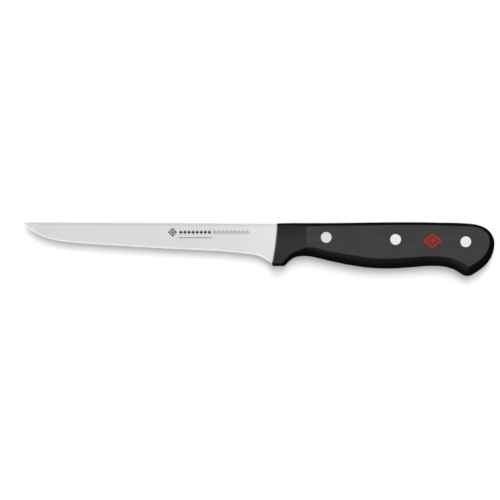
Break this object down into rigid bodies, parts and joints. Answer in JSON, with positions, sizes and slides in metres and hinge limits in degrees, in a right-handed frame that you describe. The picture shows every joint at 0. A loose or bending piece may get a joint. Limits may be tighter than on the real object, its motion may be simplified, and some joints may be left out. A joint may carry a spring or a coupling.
{
  "type": "boning knife",
  "caption": "Fixed-blade boning knife: narrow pointed blade with a full tang between two black riveted handle scales with a finger guard and a hooked butt.",
  "frame": {"origin": "bottom centre of the knife's box, on the flat side of the right handle scale that the knife lies on", "axes": "+X from the blade's point to the handle's butt, +Y from the cutting edge to the spine, +Z from the right side to the left side"},
  "size_m": [0.2606, 0.0298, 0.016],
  "materials": {
    "blade_steel": "satin ground stainless steel",
    "handle_plastic": "satin moulded black plastic",
    "rivet_metal": "satin, ground flush",
    "inlay_red": "smooth red inlay, flush"
  },
  "bodies": {
    "root": {"blade": "blade_steel", "left_scale": "handle_plastic", "right_scale": "handle_plastic", "front_rivet_pin": "rivet_metal", "front_rivet_sleeve": "rivet_metal", "middle_rivet_pin": "rivet_metal", "middle_rivet_sleeve": "rivet_metal", "rear_rivet_pin": "rivet_metal", "rear_rivet_sleeve": "rivet_metal", "inlay_frame": "inlay_red", "inlay_centre": "inlay_red"}
  },
  "joints": []
}
